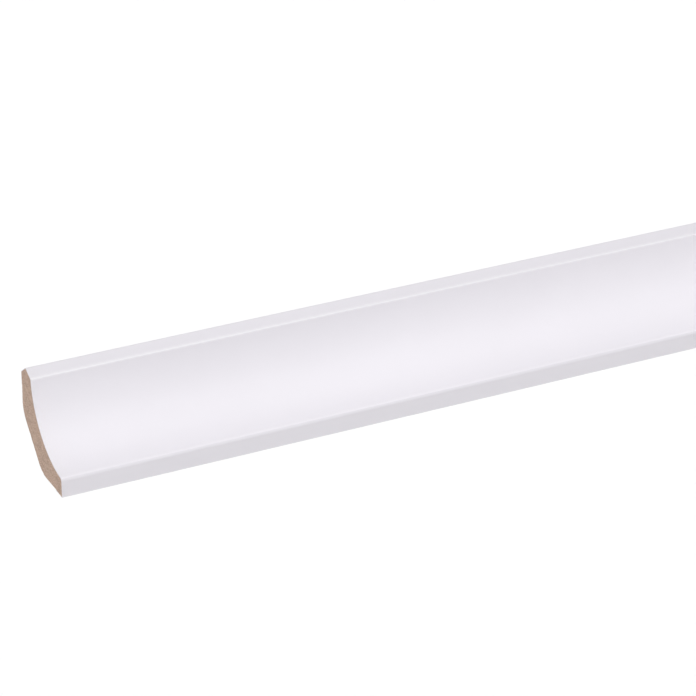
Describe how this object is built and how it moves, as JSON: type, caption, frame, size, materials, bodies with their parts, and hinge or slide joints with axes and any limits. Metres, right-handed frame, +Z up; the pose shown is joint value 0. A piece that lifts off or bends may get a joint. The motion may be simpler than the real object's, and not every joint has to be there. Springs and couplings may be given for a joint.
{
  "type": "cove moulding",
  "caption": "Length of white wrapped MDF cove moulding, cut square: a quarter-round hollow between a sloping lip and a flat toe, with a flat wall facet, a flat base facet and a slanted back.",
  "frame": {"origin": "middle of the flat wall facet, half way along the length", "axes": "+X along the moulding, +Y into the wall, +Z up; the hollow looks up and out from the wall, towards -Y and +Z"},
  "size_m": [0.32, 0.04, 0.0398],
  "materials": {
    "white_wrap": "satin white foil wrapped on MDF",
    "raw_mdf": "raw sawn and planed MDF"
  },
  "bodies": {
    "root": {"cove_moulding": "white_wrap"}
  },
  "joints": []
}
